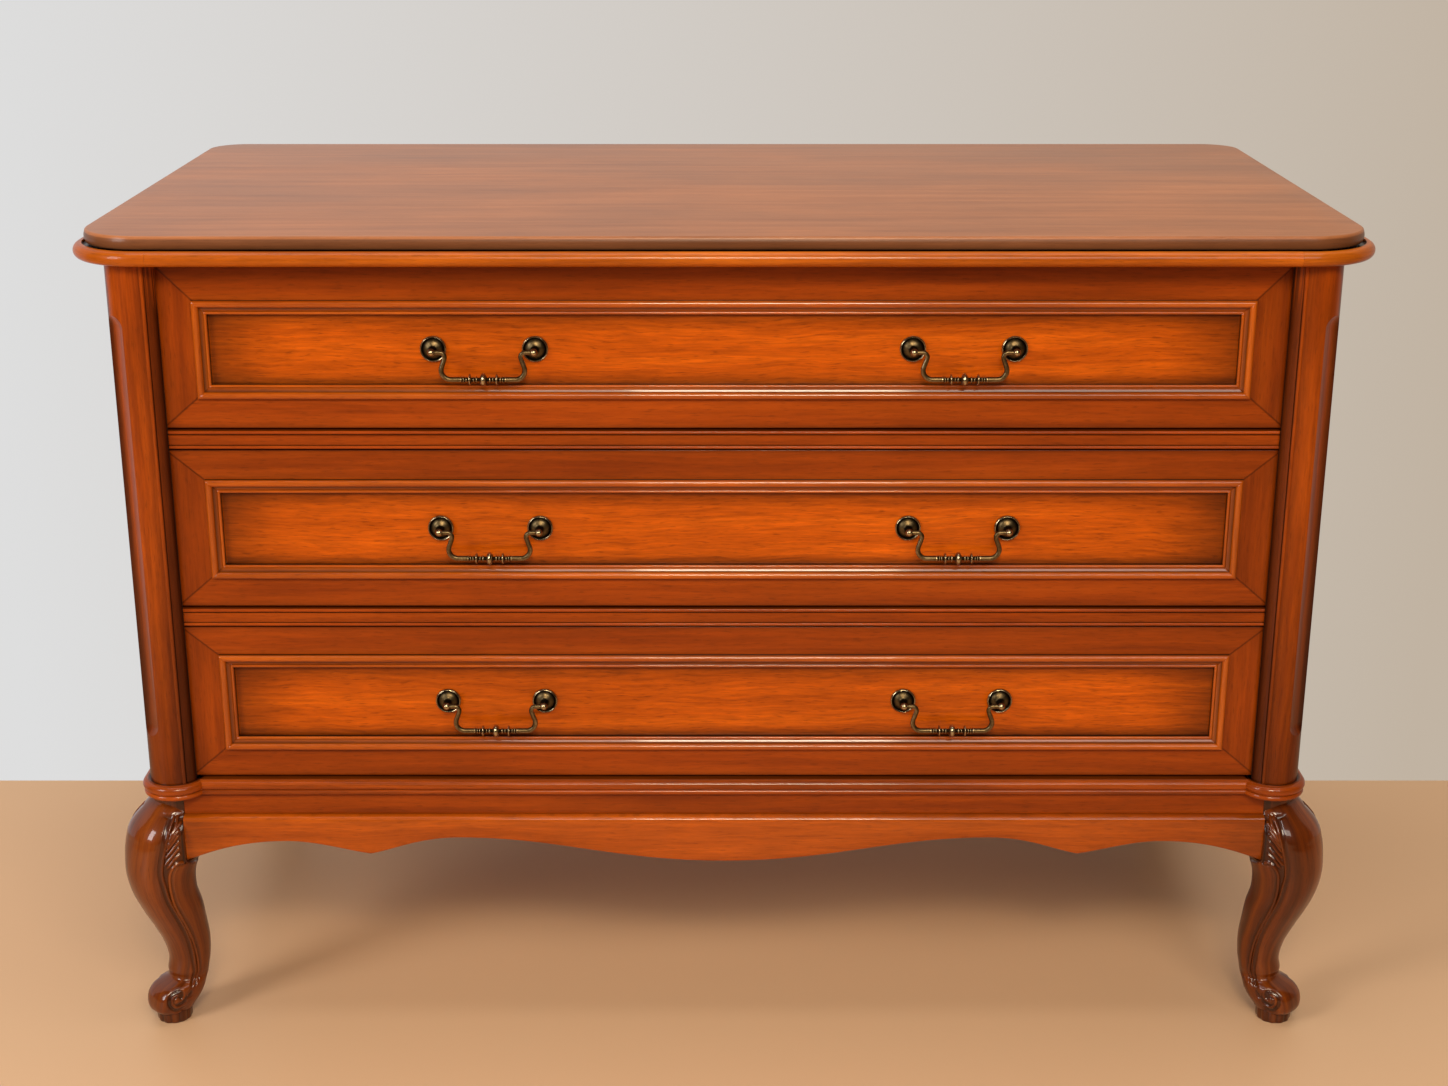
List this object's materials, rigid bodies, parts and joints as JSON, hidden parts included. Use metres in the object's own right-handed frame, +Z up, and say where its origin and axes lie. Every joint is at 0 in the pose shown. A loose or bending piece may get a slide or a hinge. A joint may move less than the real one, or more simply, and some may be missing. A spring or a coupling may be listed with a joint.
{
  "type": "chest of drawers",
  "caption": "Commode chest of drawers on cabriole legs with scroll feet, with framed drawer fronts, rounded fluted corner posts and swan-neck bail pulls.",
  "frame": {"origin": "middle of the footprint, on the floor", "axes": "+X to the right as one faces the drawers, +Y to the back, +Z up"},
  "size_m": [1.222, 0.621, 0.827],
  "materials": {
    "cherry": "stained cherry wood under a glossy lacquer",
    "drawer_front": "cherry veneer, reddish frame and a lighter orange field, glossy lacquer",
    "top": "cherry veneer with a satin lacquer",
    "inner_wood": "plain unfinished hardwood and plywood",
    "antique_brass": "antiqued brass, dark in the hollows"
  },
  "bodies": {
    "case": {"top_board": "top", "sub_top": "inner_wood", "bullnose_front": "cherry", "bullnose_left": "cherry", "bullnose_right": "cherry", "corner_post_left": "cherry", "corner_post_right": "cherry", "rear_post_left": "cherry", "rear_post_right": "cherry", "side_panel_left": "cherry", "side_panel_right": "cherry", "back_panel": "inner_wood", "bottom_board": "inner_wood", "rear_rail": "cherry", "divider_lower": "cherry", "divider_upper": "cherry", "band_front": "cherry", "base_moulding_front": "cherry", "base_moulding_left": "cherry", "base_moulding_right": "cherry", "apron_front": "cherry", "apron_left": "cherry", "apron_right": "cherry", "apron_rear": "cherry", "leg_front_left": "cherry", "leg_front_right": "cherry", "leg_rear_left": "cherry", "leg_rear_right": "cherry", "runners_left": "inner_wood", "runners_right": "inner_wood"},
    "lower_drawer": {"lower_drawer_front": "drawer_front", "lower_drawer_moulding": "cherry", "lower_drawer_side_left": "inner_wood", "lower_drawer_side_right": "inner_wood", "lower_drawer_back": "inner_wood", "lower_drawer_bottom": "inner_wood", "lower_posts_left": "antique_brass", "lower_posts_right": "antique_brass"},
    "lower_bail_left": {"lower_bail_left": "antique_brass"},
    "lower_bail_right": {"lower_bail_right": "antique_brass"},
    "middle_drawer": {"middle_drawer_front": "drawer_front", "middle_drawer_moulding": "cherry", "middle_drawer_side_left": "inner_wood", "middle_drawer_side_right": "inner_wood", "middle_drawer_back": "inner_wood", "middle_drawer_bottom": "inner_wood", "middle_posts_left": "antique_brass", "middle_posts_right": "antique_brass"},
    "middle_bail_left": {"middle_bail_left": "antique_brass"},
    "middle_bail_right": {"middle_bail_right": "antique_brass"},
    "upper_drawer": {"upper_drawer_front": "drawer_front", "upper_drawer_moulding": "cherry", "upper_drawer_side_left": "inner_wood", "upper_drawer_side_right": "inner_wood", "upper_drawer_back": "inner_wood", "upper_drawer_bottom": "inner_wood", "upper_posts_left": "antique_brass", "upper_posts_right": "antique_brass"},
    "upper_bail_left": {"upper_bail_left": "antique_brass"},
    "upper_bail_right": {"upper_bail_right": "antique_brass"}
  },
  "joints": [
    {"name": "lower_drawer_slide", "type": "slide", "parent": "case", "child": "lower_drawer", "axis": [0, -1, 0], "range_m": [0, 0.38]},
    {"name": "lower_bail_left_hinge", "type": "hinge", "parent": "lower_drawer", "child": "lower_bail_left", "pos_m": [-0.226, -0.2845, 0.3575], "axis": [-1, 0, 0], "range_deg": [-20, 95]},
    {"name": "lower_bail_right_hinge", "type": "hinge", "parent": "lower_drawer", "child": "lower_bail_right", "pos_m": [0.226, -0.2845, 0.3575], "axis": [-1, 0, 0], "range_deg": [-20, 95]},
    {"name": "middle_drawer_slide", "type": "slide", "parent": "case", "child": "middle_drawer", "axis": [0, -1, 0], "range_m": [0, 0.38]},
    {"name": "middle_bail_left_hinge", "type": "hinge", "parent": "middle_drawer", "child": "middle_bail_left", "pos_m": [-0.226, -0.2845, 0.538], "axis": [-1, 0, 0], "range_deg": [-20, 95]},
    {"name": "middle_bail_right_hinge", "type": "hinge", "parent": "middle_drawer", "child": "middle_bail_right", "pos_m": [0.226, -0.2845, 0.538], "axis": [-1, 0, 0], "range_deg": [-20, 95]},
    {"name": "upper_drawer_slide", "type": "slide", "parent": "case", "child": "upper_drawer", "axis": [0, -1, 0], "range_m": [0, 0.38]},
    {"name": "upper_bail_left_hinge", "type": "hinge", "parent": "upper_drawer", "child": "upper_bail_left", "pos_m": [-0.226, -0.2845, 0.71525], "axis": [-1, 0, 0], "range_deg": [-20, 95]},
    {"name": "upper_bail_right_hinge", "type": "hinge", "parent": "upper_drawer", "child": "upper_bail_right", "pos_m": [0.226, -0.2845, 0.71525], "axis": [-1, 0, 0], "range_deg": [-20, 95]}
  ]
}
